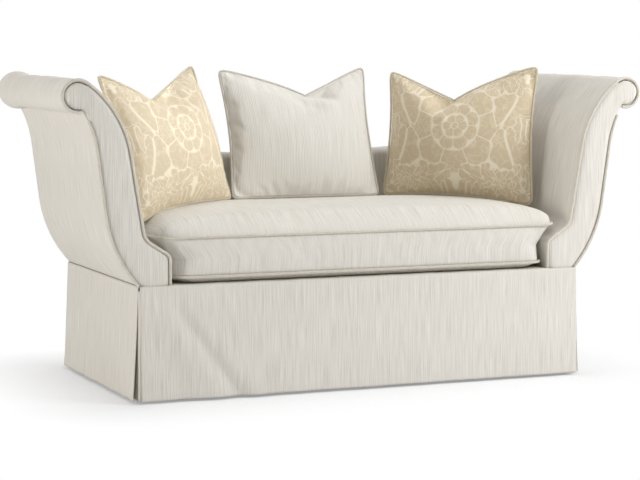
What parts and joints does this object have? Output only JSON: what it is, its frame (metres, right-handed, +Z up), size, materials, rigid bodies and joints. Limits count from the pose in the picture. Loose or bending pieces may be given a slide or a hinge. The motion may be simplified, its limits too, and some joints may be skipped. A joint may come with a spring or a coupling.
{
  "type": "settee",
  "caption": "Skirted settee with out-swept scroll arms, a low back, a crowned bench cushion and loose pillows, for sitting on.",
  "frame": {"origin": "on the floor, under the middle of the settee's box", "axes": "+X along the settee to the sitter's left (the viewer's right), +Y from the front to the back, +Z up"},
  "size_m": [1.828, 0.7146, 0.9401],
  "materials": {
    "hardwood": "sawn, unfinished",
    "zinc_steel": "zinc plated",
    "glide_nylon": "matte",
    "spring_steel": "drawn wire",
    "hessian": "open coarse weave",
    "felt": "cotton felt",
    "deck_cloth": "plain weave",
    "black_cambric": "thin non-woven",
    "ivory_rib": "fine uneven upright rib",
    "ivory_welt": "cord covered in the same cloth",
    "cushion_foam": "foam wrapped in fibre",
    "zip_nylon": "coil zip",
    "gold_damask": "damask, gold figure on a cream ground",
    "gold_welt": "cord covered in the same cloth",
    "ivory_pillow_rib": "soft raised rib",
    "pillow_fill": "feather-filled ticking"
  },
  "bodies": {
    "settee_frame": {"arm_dowels": "hardwood", "back_border": "felt", "back_seat_rail": "hardwood", "back_skirt": "ivory_rib", "back_top_rail": "hardwood", "back_uprights": "hardwood", "centre_legs": "hardwood", "corner_blocks": "hardwood", "corner_legs": "hardwood", "deck_cover": "deck_cloth", "deck_hessian": "hessian", "deck_pad": "felt", "dust_cover": "black_cambric", "end_seat_rails": "hardwood", "front_border": "felt", "front_seat_rail": "hardwood", "front_skirt": "ivory_rib", "inside_back": "ivory_rib", "left_arm_back_panel": "ivory_rib", "left_arm_front_panel": "ivory_rib", "left_arm_front_post": "hardwood", "left_arm_front_welt": "ivory_welt", "left_arm_rails": "hardwood", "left_arm_rear_post": "hardwood", "left_arm_roll_core": "hardwood", "left_end_border": "felt", "left_end_skirt": "ivory_rib", "left_inside_arm": "ivory_rib", "left_outside_arm": "ivory_rib", "leg_bolts": "zinc_steel", "leg_glides": "glide_nylon", "outside_back": "ivory_rib", "right_arm_back_panel": "ivory_rib", "right_arm_front_panel": "ivory_rib", "right_arm_front_post": "hardwood", "right_arm_front_welt": "ivory_welt", "right_arm_rails": "hardwood", "right_arm_rear_post": "hardwood", "right_arm_roll_core": "hardwood", "right_end_border": "felt", "right_end_skirt": "ivory_rib", "right_inside_arm": "ivory_rib", "right_outside_arm": "ivory_rib", "seat_springs": "spring_steel", "seat_stretchers": "hardwood", "skirt_pleats": "ivory_rib", "spring_clips": "spring_steel"},
    "seat_cushion": {"seat_cushion_core": "cushion_foam", "seat_cushion_cover": "ivory_rib", "seat_cushion_welts": "ivory_welt", "seat_cushion_zip": "zip_nylon"},
    "left_pillow": {"left_pillow_cover": "gold_damask", "left_pillow_insert": "pillow_fill", "left_pillow_welt": "gold_welt"},
    "middle_pillow": {"middle_pillow_cover": "ivory_pillow_rib", "middle_pillow_insert": "pillow_fill", "middle_pillow_welt": "ivory_welt"},
    "right_pillow": {"right_pillow_cover": "gold_damask", "right_pillow_insert": "pillow_fill", "right_pillow_welt": "gold_welt"}
  },
  "joints": [
    {"name": "seat_cushion_lift", "type": "slide", "parent": "settee_frame", "child": "seat_cushion", "axis": [0, 0, 1], "range_m": [0, 0.6]},
    {"name": "left_pillow_lift", "type": "slide", "parent": "seat_cushion", "child": "left_pillow", "axis": [0, 0, 1], "range_m": [0, 0.45]},
    {"name": "middle_pillow_lift", "type": "slide", "parent": "seat_cushion", "child": "middle_pillow", "axis": [0, 0, 1], "range_m": [0, 0.45]},
    {"name": "right_pillow_lift", "type": "slide", "parent": "seat_cushion", "child": "right_pillow", "axis": [0, 0, 1], "range_m": [0, 0.45]}
  ]
}
